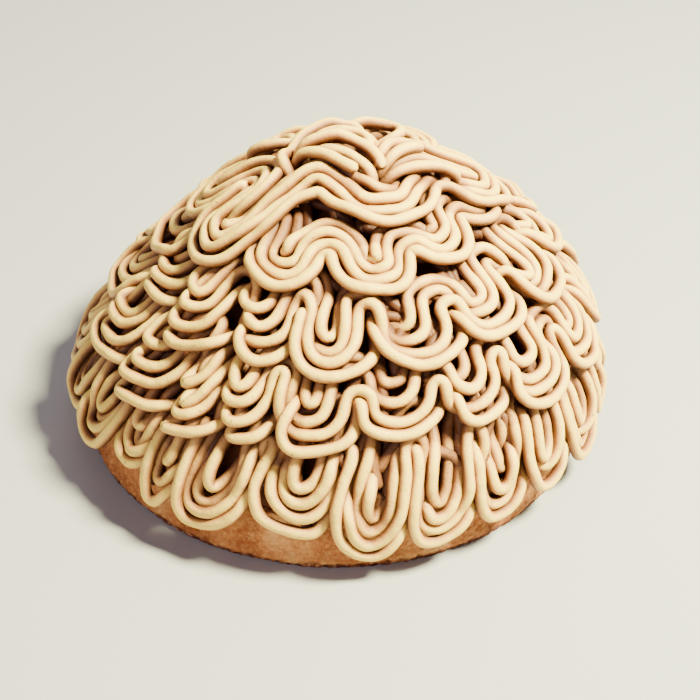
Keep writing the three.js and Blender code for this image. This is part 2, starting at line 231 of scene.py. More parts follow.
# ---------------------------------------------------------------- where the ribbons turn
def turns_of(tier, wander):
    """Where a tier's ribbon turns: (kind, angle, arc length, extra height), round the dome."""
    loops = list(tier["loops"])
    start, end = loops[-1][0], loops[0][0] + 360
    more = max(1, math.floor((end - start) / tier["gap"] + 0.5) - 1)
    for i in range(1, more + 1):
        angle = start + (end - start) * i / (more + 1) + wander(tier["gap"] * GAP_WANDER)
        drop = tier["drop"] + wander(DROP_WANDER)
        loops.append((angle, drop, wander(LIFT_WANDER)))
    width = tier["strands"] * PITCH
    turns = []
    for i, (angle, s, lift) in enumerate(loops):
        before = loops[i - 1][0] if i else loops[-1][0] - 360
        top_angle = (before + angle) / 2 + wander(TOP_WANDER)
        away = (top_angle + 180) % 360 - 180
        full, none, aside = tier["slant"]
        top_angle += aside * float(np.interp(away, [*SLANT_ENDS, full, none], [0, 1, 1, 0]))
        turns.append(("top", top_angle, tier["rise"] + wander(RISE_WANDER), 0.0))
        turns.append(("bottom", angle, s - width / 2, lift))
    return turns


def strands_of(tier, turns, rng):
    """Angle, arc length, lift and half-loop number along each strand of a tier."""
    n = len(turns)
    half_width = tier["strands"] * PITCH / 2
    skew = rng.normal(tier["skew"], 0.2, n)
    swell = np.clip(rng.normal(1.15, 0.2, n), 0.7, 1.6)
    packed = rng.uniform(0.72, 1.12, n)
    strands = []
    for k in range(tier["laid"]):
        share = 0.14 + (0.5 - k / (tier["laid"] - 1)) * tier["spread"]
        rounder = 1 + tier["round"] * (1 - k / (tier["laid"] - 1))
        at = []
        for i, (kind, angle, s, lift) in enumerate(turns):
            r_here = float(radius_at(s, 14.0))
            offset = half_width - THICK / 2 - k * tier["fine"] * packed[i]
            if kind == "top":
                offset = offset - tier["under"]
            sideways = skew[i] * (half_width - THICK / 2 - k * tier["fine"])
            sideways = math.degrees((sideways + rng.normal(0, 0.7)) / r_here)
            at.append((angle + sideways, s + offset + rng.normal(0, 0.7 if k else 0.3), lift))
        angles, arcs, lifts, halves = [], [], [], []
        for i in range(n):
            a, b = at[i], at[(i + 1) % n]
            b_angle = b[0] + (360 if i == n - 1 else 0)
            down = turns[i][0] == "top"
            v = np.linspace(0, 1, LEG_ROWS, endpoint=False)
            u = v if down else 1 - v
            ease = (1 - np.cos(np.pi * u)) / 2
            x = u + swell[i] * np.sin(2 * np.pi * u) / (2 * np.pi) - share * np.sin(np.pi * u)
            top, low = (a, b) if down else (b, a)
            top_angle = a[0] if down else b_angle
            low_angle = b_angle if down else a[0]
            angles.append(top_angle + (low_angle - top_angle) * x)
            arcs.append(top[1] + (low[1] - top[1]) * ease ** rounder)
            lifts.append(low[2] * ease)
            halves.append(np.full(v.shape, i))
        strands.append([np.concatenate(c) for c in (angles, arcs, lifts, halves)])
    return strands


def round_slope(values):
    """Change from one value to the next along a closed row."""
    return np.gradient(np.concatenate([values[-4:], values, values[:4]]))[4:-4]


def parallel_strands_of(tier, turns, rng):
    """The same for a tier whose strands keep side by side round every turn."""
    n = len(turns)
    half_width = ((tier["laid"] - 1) * tier["fine"] + THICK) / 2
    swell = np.clip(rng.normal(1.05, 0.15, n), 0.7, 1.4)
    angles, arcs, lifts, halves = [], [], [], []
    for i in range(n):
        a, b = turns[i], turns[(i + 1) % n]
        b_angle = b[1] + (360 if i == n - 1 else 0)
        down = a[0] == "top"
        v = np.linspace(0, 1, PARALLEL_ROWS, endpoint=False)
        u = v if down else 1 - v
        ease = (1 - np.cos(np.pi * u)) / 2
        top, low = (a, b) if down else (b, a)
        top_s = top[2] + half_width
        low_s = low[2] + tier["strands"] * PITCH / 2 - half_width
        top_angle, low_angle = (a[1], b_angle) if down else (b_angle, a[1])
        x = u + swell[i] * np.sin(2 * np.pi * u) / (2 * np.pi)
        angles.append(top_angle + (low_angle - top_angle) * x)
        arcs.append(top_s + (low_s - top_s) * ease)
        lifts.append(low[3] * ease)
        halves.append(i + v)
    fine_step = STEP / 4
    middle = resample(*(np.concatenate(c) for c in (angles, arcs, lifts, halves)), fine_step)
    angle, s, lift, half, run = middle
    part = 2 * np.pi * run / (run[-1] + fine_step)
    radius = radius_at(s, 10.0)
    across = np.radians(round_slope(np.unwrap(angle, period=360))) * radius
    across[:5], across[-5:] = across[5], across[-6]     # the angle jumps where the row closes
    along = round_slope(s)
    long = np.hypot(across, along) + 1e-9
    strands = []
    for k in range(tier["laid"]):
        phase = rng.uniform(0, 2 * np.pi, 3)
        wide = tier["fine"] * (1 + 0.10 * np.sin(9 * part + phase[0]))
        aside = ((tier["laid"] - 1) / 2 - k) * wide + 0.4 * np.sin(31 * part + phase[1])
        new_angle = angle - np.degrees(along / long * aside / radius)
        new_s = s + across / long * aside
        soften(new_angle, PARALLEL_SOFTEN)
        soften(new_s, PARALLEL_SOFTEN)
        strands.append([new_angle, new_s, lift, np.floor(half)])
    return strands


def resample(angle, s, lift, half, step):
    """Even spacing along a closed strand."""
    s = np.maximum(s, NEAREST)
    p = on_dome(angle, s, np.zeros_like(s))
    closed = np.vstack([p, p[:1]])
    run = run_along(closed)
    count = max(8, int(run[-1] / step))
    want = np.arange(count) * run[-1] / count
    pick = lambda c, last: np.interp(want, run, np.append(c, last))
    return (pick(angle, angle[0] + 360), pick(s, s[0]), pick(lift, lift[0]),
            pick(half, half[-1] + 1), want)


# seeded draws: the loops' plan, then the tiers, loose strands, ring, strays and skins
wander = Wander(SEED)
rng, crown_rng, ring_rng, stray_rng, skin_rng = (np.random.default_rng(seed)
                                                 for seed in (7, 2, 11, 5, 3))

# every ring of every strand: its angle and arc length on the dome, half-loop number, place along
# the strand, the strand's length, its tier and number in it, and its height before it settles
cols = {name: [] for name in ("angle", "s", "half", "run", "long", "tier", "strand", "base")}
spans = []
total = 0
OPEN = 1e6             # stands for the length of a strand that doesn't close


def lay(number, k, angle, s, half, run, long, base, closed):
    """Notes one strand's rings, and where they start."""
    global total
    n = len(s)
    for name, value in (("angle", angle), ("s", s), ("half", half), ("run", run),
                        ("long", np.full(n, long)), ("tier", np.full(n, number)),
                        ("strand", np.full(n, k)), ("base", base)):
        cols[name].append(value)
    spans.append((total, n, number, closed))
    total += n


def lay_tier(number, tier):
    """A tier of hanging loops: one ribbon up and down, all round the dome."""
    make = parallel_strands_of if tier["parallel"] else strands_of
    for k, strand in enumerate(make(tier, turns_of(tier, wander), rng)):
        angle, s, lift, half, run = resample(*strand, STEP)
        phase = rng.uniform(0, 2 * np.pi, 4)
        long = run[-1] + STEP
        bends = [size * np.sin(2 * np.pi * round(long / length) / long * run + begin)
                 for (length, size), begin in zip(BENDS, phase)]
        angle = angle + np.degrees((bends[0] + bends[2]) / radius_at(s, 10.0))
        s = s + bends[1] + bends[3]
        soften(angle, SOFTEN)
        soften(s, SOFTEN)
        s = np.maximum(s, NEAREST)
        down = np.clip((s - tier["rise"]) / (tier["drop"] - tier["rise"]), -0.3, 1.1)
        ridge = tier["tuck"] + (tier["stand"] - tier["tuck"]) * down + lift * np.maximum(0, down)
        lay(number, k, angle, s, half, run, long, ridge - STRAND / 2, True)


def on_plan(x, y):
    """Angle and arc length of a point of the dome seen from above."""
    shift = 0.0
    for _ in range(6):
        radius = np.hypot(x - shift, y) + 1e-6
        s = np.interp(radius, MER_R[:DOME_ROWS + 1], MER_ARC[:DOME_ROWS + 1])
        shift = lean(np.interp(s, MER_ARC, MER_Z))
    return np.degrees(np.arctan2(x - shift, -y)), s


def smooth_line(points, step):
    """Even points on a smooth curve through the given ones."""
    p = np.asarray(points, dtype=float)
    p = np.vstack([2 * p[0] - p[1], p, 2 * p[-1] - p[-2]])
    t = np.linspace(0, 1, 16, endpoint=False)[:, None]
    parts = [0.5 * (2 * p[i + 1] + (p[i + 2] - p[i]) * t
                    + (2 * p[i] - 5 * p[i + 1] + 4 * p[i + 2] - p[i + 3]) * t * t
                    + (3 * p[i + 1] - p[i] - 3 * p[i + 2] + p[i + 3]) * t ** 3)
             for i in range(len(p) - 3)]
    line = np.vstack(parts + [p[-2:-1]])
    run = run_along(line)
    want = np.linspace(0, run[-1], int(run[-1] / step) + 1)
    return np.stack([np.interp(want, run, c) for c in line.T], -1), want


def stray(rng):
    """Angle, arc length and height along a short strand deep in the heap."""
    s = float(np.interp(rng.uniform(0, 1), [0, 0.25, 1], [14, 55, 112]))
    angle = rng.uniform(0, 360)
    heading = rng.normal(0, 0.45) + (math.pi if rng.uniform() < 0.5 else 0)
    turn = rng.normal(0, 0.055)
    rows = []
    for _ in range(int(rng.uniform(4, 7))):
        rows.append((angle, s, STRAY_HEIGHT + rng.uniform(-1.2, 1.0)))
        angle += math.degrees(STRAY_REACH * math.sin(heading) / float(radius_at(s, 10.0)))
        s = min(113.0, max(10.0, s + STRAY_REACH * math.cos(heading)))
        heading += STRAY_REACH * turn + rng.normal(0, 0.15)
    return np.array(rows).T


def lay_stray(number, k):
    points = stray(stray_rng)
    last = points.shape[1] - 1
    where = np.linspace(0, last, int(last * STRAY_REACH / STRAY_STEP))
    angle, s, depth = (np.interp(where, np.arange(last + 1), c) for c in points)
    soften(angle, 8)
    soften(s, 8)
    n = len(where)
    lay(number, k, angle, s, np.full(n, -3.0 * k), where * STRAY_REACH, OPEN, depth, False)


def lay_ring(number):
    """The ribbon round the crown: strands beside each other along one closed line."""
    line, _ = smooth_line(RING[-2:] + RING + RING[:3], STEP / 4)
    middle = len(line) // 2
    first = np.argmin(np.hypot(*(line[:middle] - RING[0]).T))
    last = middle + np.argmin(np.hypot(*(line[middle:] - RING[0]).T))
    line = line[first:last]
    along = np.roll(line, -3, 0) - np.roll(line, 3, 0)
    along /= np.linalg.norm(along, axis=1)[:, None]
    outward = np.stack([along[:, 1], -along[:, 0]], -1)
    part = np.linspace(0, 2 * np.pi, len(line), endpoint=False)
    for k in range(RING_STRANDS):
        phase = ring_rng.uniform(0, 2 * np.pi, 3)
        aside = ((k - (RING_STRANDS - 1) / 2) * RING_FINE * (1 + 0.08 * np.sin(7 * part + phase[0]))
                 + 0.5 * np.sin(9 * part + phase[1]) + 0.45 * np.sin(23 * part + phase[2]))
        strand = line + outward * aside[:, None]
        for _ in range(30):
            strand = 0.25 * np.roll(strand, 1, 0) + 0.5 * strand + 0.25 * np.roll(strand, -1, 0)
        closed = np.vstack([strand, strand[:1]])
        run = run_along(closed)
        n = int(run[-1] / STEP)
        want = np.arange(n) * run[-1] / n
        x, y = np.interp(want, run, closed[:, 0]), np.interp(want, run, closed[:, 1])
        half = np.interp(want, run, np.linspace(0, 20, len(closed)))
        angle, s = on_plan(x, y)
        low = np.clip((s - RING_FROM) / RING_OVER, 0, 1)
        lay(number, k, angle, s, half, want, run[-1],
            RING_HIGH + (RING_LOW - RING_HIGH) * low - STRAND / 2, True)


def loose_points():
    """A further loose strand on the crown, round its middle."""
    radius, around = crown_rng.uniform(3, 13), crown_rng.uniform(0, 2 * math.pi)
    points = []
    for _ in range(int(crown_rng.uniform(4, 7))):
        points.append((radius * math.cos(around), radius * math.sin(around),
                       crown_rng.uniform(-3.6, -2.4)))
        around += 6 / radius
        radius = max(3.0, radius + crown_rng.normal(0, 1.2))
    return points


def lay_loose(number, k, points):
    line, run = smooth_line(points, STEP)
    x, y, over = line.T
    angle, s = on_plan(x, y)
    n = len(run)
    lay(number, k, angle, s, np.full(n, 3.0 * k), run, OPEN, over, False)


RING_NUMBER, CROWN_NUMBER, STRAY_NUMBER = len(TIERS), len(TIERS) + 1, len(TIERS) + 2
for number, tier in enumerate(TIERS):
    lay_tier(number, tier)
lay_ring(RING_NUMBER)
for k in range(STRAYS):
    lay_stray(STRAY_NUMBER, k)
heap = [loose_points() for _ in range(LOOSE)]
for k, points in enumerate(heap + CROWN):
    lay_loose(CROWN_NUMBER, k, points)
col = {name: np.concatenate(parts) for name, parts in cols.items()}
normals = normal_at(col["angle"], col["s"])

# ---------------------------------------------------------------- which strand lies on which
def near_pairs(points, reach):
    """Index pairs of points closer than reach."""
    cell = np.floor(points / reach).astype(np.int64)
    cell -= cell.min(0)
    dims = cell.max(0) + 3
    key = (cell[:, 0] * dims[1] + cell[:, 1]) * dims[2] + cell[:, 2]
    order = np.argsort(key, kind="stable")
    sorted_key = key[order]
    firsts, seconds = [], []
    for dx in (-1, 0, 1):
        for dy in (-1, 0, 1):
            for dz in (-1, 0, 1):
                shift = (dx * dims[1] + dy) * dims[2] + dz
                lo = np.searchsorted(sorted_key, key + shift, "left")
                hi = np.searchsorted(sorted_key, key + shift, "right")
                count = hi - lo
                i = np.repeat(np.arange(len(points)), count)
                start = np.repeat(lo, count)
                within = np.arange(len(i)) - np.repeat(np.cumsum(count) - count, count)
                j = order[start + within]
                keep = i < j
                i, j = i[keep], j[keep]
                close = np.linalg.norm(points[i] - points[j], axis=1) < reach
                firsts.append(i[close])
                seconds.append(j[close])
    return np.concatenate(firsts), np.concatenate(seconds)


def apart_along(i, j):
    """Arc length between two points of one strand, the short way round."""
    gap = np.abs(col["run"][i] - col["run"][j])
    return np.minimum(gap, col["long"][i] - gap)


def pairs_to_part(points, reach):
    """Near pairs, the one that should lie under first."""
    i, j = near_pairs(points, reach)
    shown = (col["tier"][i] <= CROWN_NUMBER) & (col["tier"][j] <= CROWN_NUMBER)
    i, j = i[shown], j[shown]
    one = (col["tier"][i] == col["tier"][j]) & (col["strand"][i] == col["strand"][j])
    keep = ~(one & (apart_along(i, j) < SELF_APART * THICK))
    return i[keep], j[keep]


before_i = np.arange(total) - 1
after_i = np.arange(total) + 1
for start, n, _, closed in spans:
    before_i[start] = start + n - 1 if closed else start
    after_i[start + n - 1] = start if closed else start + n - 1


def along_mean(values, times):
    """Values averaged with their neighbours' along each strand."""
    for _ in range(times):
        values = 0.25 * values[before_i] + 0.5 * values + 0.25 * values[after_i]
    return values


# first only heights move: the upper tier lies on the lower, and in a tier the later half-loop
# lies on the earlier one
ground = on_dome(col["angle"], col["s"], np.zeros(total))
low, high = pairs_to_part(ground, THICK)
same_tier = col["tier"][low] == col["tier"][high]
behind = (col["half"][low] - col["half"][high]) > 0.5
on_top = col["tier"] == CROWN_NUMBER
tucked = on_top & (col["base"] < TUCKED)
later = np.where(tucked[low] != tucked[high], tucked[high], same_tier & behind)
low, high = np.where(later, high, low), np.where(later, low, high)
beside = same_tier & (np.abs(col["half"][low] - col["half"][high]) < SAME_LEG)
flat = np.linalg.norm(ground[low] - ground[high], axis=1)
need = (np.sqrt(np.maximum(0, THICK ** 2 - flat ** 2))
        * np.where(beside, STEP_BESIDE, STEP_CROSSING))
base = col["base"]
height = base + rng.normal(0, 0.05, total)
give = np.where(same_tier, GIVE_SAME,
                np.where(on_top[low] | on_top[high], GIVE_CROWN, GIVE_TIERS))
give = np.where(tucked[low], GIVE_TUCKED, give)
roof = base + np.where(on_top, ROOF_CROWN, ROOF_TIERS)
for _ in range(SWEEPS_UP):
    swap = beside & (height[high] < height[low])
    up_i, down_i = np.where(swap, low, high), np.where(swap, high, low)
    push = np.maximum(0, need - (height[up_i] - height[down_i])) * 0.5
    rise = np.zeros(total)
    sink = np.zeros(total)
    np.maximum.at(rise, up_i, push * (1 - give))
    np.maximum.at(sink, down_i, push * give)
    height = along_mean(np.clip(height + rise - sink, base - SINK, roof), 2)

# then the strands settle against each other in all directions
centre = on_dome(col["angle"], col["s"], height)
wanted = centre.copy()
for sweep in range(SWEEPS_ALL):
    if sweep % LOOK_EVERY == 0:
        i, j = pairs_to_part(centre, THICK + LOOK_WIDER)
        firm = np.where(on_top[i] | on_top[j], FIRM_CROWN, FIRM_TIERS)
    gap = centre[j] - centre[i]
    dist = np.linalg.norm(gap, axis=1)
    push = (np.maximum(0, THICK - dist) / (dist + 1e-6) * 0.5)[:, None] * gap
    touching = dist < THICK
    along = (push * normals[i]).sum(1)[:, None] * normals[i]
    push = along + firm[:, None] * (push - along)
    moved = np.zeros((total, 3))
    for axis in range(3):
        moved[:, axis] = (np.bincount(j, push[:, axis], total)
                          - np.bincount(i, push[:, axis], total))
    count = np.bincount(i, touching, total) + np.bincount(j, touching, total)
    centre = centre + moved / np.maximum(1, SHARED * count)[:, None]
    centre = wanted + SPRING * along_mean(centre - wanted, 2)
    out = ((centre - ground) * normals).sum(1)
    centre = centre + normals * (np.clip(out, -DEEPEST, roof) - out)[:, None]
centre = along_mean(centre, 2)

# depth under the skin of the whole, for the cream's painted shade: the skin runs over the strands
# within reach and falls away from each
SKIN_REACH, SKIN_FALL = 6.5, 0.3
out = ((centre - ground) * normals).sum(1)
i, j = near_pairs(centre - normals * out[:, None], SKIN_REACH)
far = np.linalg.norm((centre[i] - centre[j]) - normals[i] * (out[i] - out[j])[:, None], axis=1)
skin = out.copy()
np.maximum.at(skin, i, out[j] - SKIN_FALL * far)
np.maximum.at(skin, j, out[i] - SKIN_FALL * far)
cover = skin - out


# ---------------------------------------------------------------- mesh helpers
def new_object(name, verts, faces, material, node):
    """A smooth piece on the one body, in place of a node of the solids."""
    mesh = bpy.data.meshes.new(name)
    verts = np.asarray(verts, dtype=np.float64) * MM
    faces = np.asarray(faces)
    mesh.vertices.add(len(verts))
    mesh.vertices.foreach_set("co", verts.ravel())
    corners = faces.shape[1]
    mesh.loops.add(faces.size)
    mesh.loops.foreach_set("vertex_index", faces.ravel())
    mesh.polygons.add(len(faces))
    mesh.polygons.foreach_set("loop_start", np.arange(len(faces)) * corners)
    mesh.polygons.foreach_set("loop_total", np.full(len(faces), corners))
    mesh.update(calc_edges=True)
    mesh.validate()
    mesh.polygons.foreach_set("use_smooth", np.full(len(mesh.polygons), True))
    mesh.materials.append(material)
    obj = bpy.data.objects.new(name, mesh)
    bpy.context.scene.collection.objects.link(obj)
    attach(obj, "root")
    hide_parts(node)
    return obj


def set_tone(obj, values):
    """Notes how deep or dark each point is, from 0 to 1, for the material: painted shade on the
    cream, the dark lower edge on the crust.
    """
    layer = obj.data.attributes.new("tone", "FLOAT", "POINT")
    layer.data.foreach_set("value", np.asarray(values, dtype=np.float32))


# ---------------------------------------------------------------- materials
def node_material(name):
    mat = bpy.data.materials.new(name)
    mat.use_nodes = True
    tree = mat.node_tree
    tree.nodes.clear()
    out = tree.nodes.new("ShaderNodeOutputMaterial")
    shader = tree.nodes.new("ShaderNodeBsdfPrincipled")
    tree.links.new(shader.outputs["BSDF"], out.inputs["Surface"])
    return mat, tree, shader


def add(tree, kind, **settings):
    node = tree.nodes.new(kind)
    for key, value in settings.items():
        setattr(node, key, value)
    return node


def noise_tex(tree, coords, scale, detail=3.0, rough=0.55):
    node = add(tree, "ShaderNodeTexNoise")
    node.inputs["Scale"].default_value = scale
    node.inputs["Detail"].default_value = detail
    node.inputs["Roughness"].default_value = rough
    tree.links.new(coords, node.inputs["Vector"])
    return node.outputs["Fac"]


def ramp(tree, value, stops):
    node = add(tree, "ShaderNodeValToRGB")
    while len(node.color_ramp.elements) < len(stops):
        node.color_ramp.elements.new(0.5)
    for element, (place, colour) in zip(node.color_ramp.elements, stops):
        element.position = place
        element.color = (*colour, 1)
    tree.links.new(value, node.inputs["Fac"])
    return node.outputs["Color"]


def blend(tree, fac, a, b, mode="MIX"):
    node = add(tree, "ShaderNodeMix", data_type="RGBA", blend_type=mode)
    for socket, value in ((node.inputs[0], fac), (node.inputs[6], a), (node.inputs[7], b)):
        if isinstance(value, (int, float)):
            socket.default_value = value
        elif isinstance(value, tuple):
            socket.default_value = (*value, 1)
        else:
            tree.links.new(value, socket)
    return node.outputs[2]


def bump(tree, height_socket, strength, distance, normal=None):
    node = add(tree, "ShaderNodeBump")
    node.inputs["Strength"].default_value = strength
    node.inputs["Distance"].default_value = distance
    tree.links.new(height_socket, node.inputs["Height"])
    if normal:
        tree.links.new(normal, node.inputs["Normal"])
    return node.outputs["Normal"]


def cream_material(name, stops, gloss):
    """Chestnut paste with painted shade: lighter on top, darker down the sides and in the gaps, by
    the tone; grainy, with dark flecks.
    """
    mat, tree, shader = node_material(name)
    coords = add(tree, "ShaderNodeTexCoord").outputs["Object"]
    tone = add(tree, "ShaderNodeAttribute", attribute_name="tone").outputs["Fac"]
    # painted shade: the tone turns the colour darker and redder down each strand's sides and in the
    # gaps between strands
    body = ramp(tree, tone, stops)

    # the paste's grain, its lighter and darker patches
    grain = noise_tex(tree, coords, 1500, 2.0, 0.6)
    body = blend(tree, 0.35, body, ramp(tree, grain, [(0.30, (0.52, 0.33, 0.17)),
                                                      (0.52, (0.80, 0.60, 0.36)),
                                                      (0.75, (0.95, 0.80, 0.56))]), "OVERLAY")
    patches = noise_tex(tree, coords, 90, 3.0, 0.5)
    body = blend(tree, 0.22, body, ramp(tree, patches, [(0.35, (0.66, 0.45, 0.25)),
                                                        (0.65, (0.94, 0.76, 0.50))]), "MULTIPLY")

    # flecks of chestnut skin
    dots = add(tree, "ShaderNodeTexVoronoi")
    dots.inputs["Scale"].default_value = 330
    tree.links.new(coords, dots.inputs["Vector"])
    dot = ramp(tree, dots.outputs["Distance"], [(0.07, (1.0,) * 3), (0.13, (0.0,) * 3)])
    some = ramp(tree, noise_tex(tree, coords, 260, 1.0), [(0.50, (0.0,) * 3), (0.56, (0.6,) * 3)])
    fleck = blend(tree, 1.0, dot, some, "MULTIPLY")
    body = blend(tree, fleck, body, (0.16, 0.06, 0.02))
    tree.links.new(body, shader.inputs["Base Color"])

    # a moist, slightly clear paste with a fine, uneven skin
    rough = ramp(tree, noise_tex(tree, coords, 500, 3.0), [(0.3, (0.46,) * 3), (0.7, (0.62,) * 3)])
    tree.links.new(rough, shader.inputs["Roughness"])
    shader.inputs["Specular IOR Level"].default_value = gloss
    shader.inputs["Subsurface Weight"].default_value = 0.08
    shader.inputs["Subsurface Radius"].default_value = (0.0028, 0.0014, 0.0007)
    shader.inputs["Subsurface Scale"].default_value = 0.6
    fine = bump(tree, noise_tex(tree, coords, 2000, 3.0, 0.6), 0.5, 0.0003)
    soft = bump(tree, noise_tex(tree, coords, 420, 2.0, 0.5), 0.45, 0.0006, fine)
    tree.links.new(soft, shader.inputs["Normal"])
    return mat


def crust_material():
    """Baked dough: brown patches and crumb, dark where the tone says so."""
    mat, tree, shader = node_material("baked_crust")
    coords = add(tree, "ShaderNodeTexCoord").outputs["Object"]
    tone = add(tree, "ShaderNodeAttribute", attribute_name="tone").outputs["Fac"]

    # brown patches with crumb, and the dark lower edge
    patches = ramp(tree, noise_tex(tree, coords, 75, 4.0, 0.6),
                   [(0.32, (0.30, 0.070, 0.016)), (0.50, (0.60, 0.215, 0.062)),
                    (0.68, (0.92, 0.50, 0.18))])
    crumb = ramp(tree, noise_tex(tree, coords, 850, 4.0, 0.7),
                 [(0.36, (0.22, 0.055, 0.013)), (0.50, (0.46, 0.160, 0.040)),
                  (0.62, (0.78, 0.40, 0.13)), (0.74, (0.95, 0.66, 0.32))])
    baked = blend(tree, 0.35, patches, crumb)
    dark = ramp(tree, noise_tex(tree, coords, 700, 4.0, 0.65),
                [(0.38, (0.05, 0.010, 0.005)), (0.54, (0.22, 0.058, 0.022)),
                 (0.66, (0.60, 0.30, 0.14))])
    body = blend(tree, tone, baked, dark)
    tree.links.new(body, shader.inputs["Base Color"])

    # dry and rough
    rough = ramp(tree, noise_tex(tree, coords, 300, 3.0), [(0.3, (0.45,) * 3), (0.7, (0.75,) * 3)])
    tree.links.new(rough, shader.inputs["Roughness"])
    shader.inputs["Specular IOR Level"].default_value = 0.18
    fine = bump(tree, noise_tex(tree, coords, 1300, 5.0, 0.65), 0.8, 0.0006)
    soft = bump(tree, noise_tex(tree, coords, 300, 4.0, 0.6), 0.7, 0.0014, fine)
    tree.links.new(soft, shader.inputs["Normal"])
    return mat


# the paste's colour at a strand's top, then painted shade, darker down its sides and in the gaps
CREAM = cream_material(
    "chestnut_paste",
    [(0.00, (0.93, 0.69, 0.135)), (0.11, (0.78, 0.48, 0.135)), (0.26, (0.43, 0.24, 0.09)),
     (0.46, (0.19, 0.088, 0.036)), (0.85, (0.075, 0.024, 0.008))], 0.35)
# the core under the strands is coloured dark brown: painted shade where it shows in the gaps
CORE_PAINTED_SHADE = cream_material(
    "chestnut_paste_painted_shade",
    [(0.0, (0.10, 0.034, 0.016)), (1.0, (0.06, 0.020, 0.010))], 0.05)
CRUST = crust_material()

# ---------------------------------------------------------------- strands
def swell_along(run, open_end):
    """A strand's radius along its length, uneven, and rounded off at open ends."""
    long = run[-1] + STEP
    phase = skin_rng.uniform(0, 2 * np.pi, 3)
    (length, share), (short, less) = SWELLS
    swell = (1 + share * np.sin(2 * np.pi * round(long / length) / long * run + phase[0])
             + less * np.sin(2 * np.pi * round(long / short) / long * run + phase[1]))
    radius = THICK / 2 * swell * skin_rng.uniform(0.96, 1.05)
    if open_end:
        end = np.minimum(run, run[-1] - run) + 0.12
        radius = radius * np.sqrt(1 - np.maximum(0, 1 - end / TIP) ** 2)
    return radius


def rough_skin(n, sides):
    """Small seeded lumps over a strand's skin."""
    skin = skin_rng.normal(0, 1, (n, sides))
    for _ in range(2):
        skin = 0.3 * np.roll(skin, 1, 0) + 0.4 * skin + 0.3 * np.roll(skin, -1, 0)
        skin = 0.25 * np.roll(skin, 1, 1) + 0.5 * skin + 0.25 * np.roll(skin, -1, 1)
    return skin


def strand_skin(start, n, sides, closed):
    """Vertices, triangles and depth of painted shade of one strand."""
    rows = slice(start, start + n)
    ring = np.arange(sides) * 2 * np.pi / sides
    tangent = centre[after_i[rows]] - centre[before_i[rows]]
    tangent /= np.linalg.norm(tangent, axis=1)[:, None]
    side = np.cross(tangent, normals[rows])
    side /= np.linalg.norm(side, axis=1)[:, None]
    up = np.cross(side, tangent)
    radius = swell_along(col["run"][rows], not closed)
    radius = radius[:, None] * (1 + UNEVEN * rough_skin(n, sides))
    middle = centre[rows]
    v = (middle[:, None, :] + (radius * np.cos(ring))[..., None] * up[:, None, :] * FLAT
         + (radius * np.sin(ring))[..., None] * side[:, None, :] * WIDE)
    v = v.reshape(-1, 3)
    # painted shade: deeper below the strands around and down the strand's sides from its top
    shade_depth = (COVER_PAINTED_SHADE * cover[rows, None] + SIDE_PAINTED_SHADE * (1 - np.cos(ring))).ravel()
    i = np.arange(n if closed else n - 1)[:, None]
    j = np.arange(sides)[None, :]
    nxt = (i + 1) % n
    a, b = i * sides + j, i * sides + (j + 1) % sides
    c, d = nxt * sides + (j + 1) % sides, nxt * sides + j
    tris = np.concatenate([np.stack([a, b, c], -1).reshape(-1, 3),
                           np.stack([a, c, d], -1).reshape(-1, 3)])
    if not closed:
        k = np.arange(sides)
        k_next = (k + 1) % sides
        last = (n - 1) * sides
        tris = np.concatenate([tris, np.stack([k * 0 + len(v), k_next, k], -1),
                               np.stack([k * 0 + len(v) + 1, last + k, last + k_next], -1)])
        v = np.vstack([v, middle[:1], middle[-1:]])
        shade_depth = np.concatenate([shade_depth, shade_depth[:1], shade_depth[-1:]])
    return v, tris, shade_depth


NAMES = ["cream_tier_%d" % (i + 1) for i in range(CROWN_NUMBER)] + ["cream_crown", "cream_inside"]
skins = {name: [] for name in NAMES}
for start, n, number, closed in spans:
    deep_down = number == STRAY_NUMBER
    v, tris, shade_depth = strand_skin(start, n, STRAY_SIDES if deep_down else SIDES, closed)
    # painted shade from the depth, darker still on the strays deep in the heap
    tone = np.clip((shade_depth - SHADE_FROM) / SHADE_RANGE + (STRAY_SHADE if deep_down else 0), 0, 1)
    skins[NAMES[number]].append((v, tris, tone))
for name, parts in skins.items():
    verts, faces, tones = zip(*parts)
    starts = np.cumsum([0] + [len(v) for v in verts[:-1]])
    faces = [tris + first for tris, first in zip(faces, starts)]
    obj = new_object(name, np.concatenate(verts), np.concatenate(faces), CREAM,
                     "chestnut_cream")
    set_tone(obj, np.concatenate(tones))

# ---------------------------------------------------------------- core under the strands
def lathe_object(name, profile, turns, material, node, shape):
    """Closed solid round Z from (radius, z) rows that start and end on the axis."""
    angle = np.arange(turns) * 2 * np.pi / turns
    body = np.array(profile)[1:-1]
    n = len(body)
    v = np.stack([body[:, :1] * np.sin(angle), -body[:, :1] * np.cos(angle),
                  np.repeat(body[:, 1:2], turns, 1)], -1).reshape(-1, 3)
    v, tone = shape(v)
    low = v[:turns].mean(0)
    low[2] = profile[0][1]
    top = v[-turns:].mean(0)
    top[2] = profile[-1][1]
    v = np.vstack([v, low, top])
    i = np.arange(n - 1)[:, None]
    j = np.arange(turns)
    k = (j + 1) % turns
    quads = np.stack([i * turns + j, i * turns + k, (i + 1) * turns + k, (i + 1) * turns + j], -1)
    quads = quads.reshape(-1, 4)
    last = (n - 1) * turns
    tris = np.vstack([quads[:, [0, 1, 2]], quads[:, [0, 2, 3]],
                      np.stack([np.full(turns, len(v) - 2), k, j], -1),
                      np.stack([np.full(turns, len(v) - 1), last + j, last + k], -1)])
    obj = new_object(name, v, tris, material, node)
    set_tone(obj, np.concatenate([tone, [0.5, 0.5]]))


CORE_FOOT, CORE_WAIST = 8.0, 68.5      # height of its underside, and its radius inside the shell


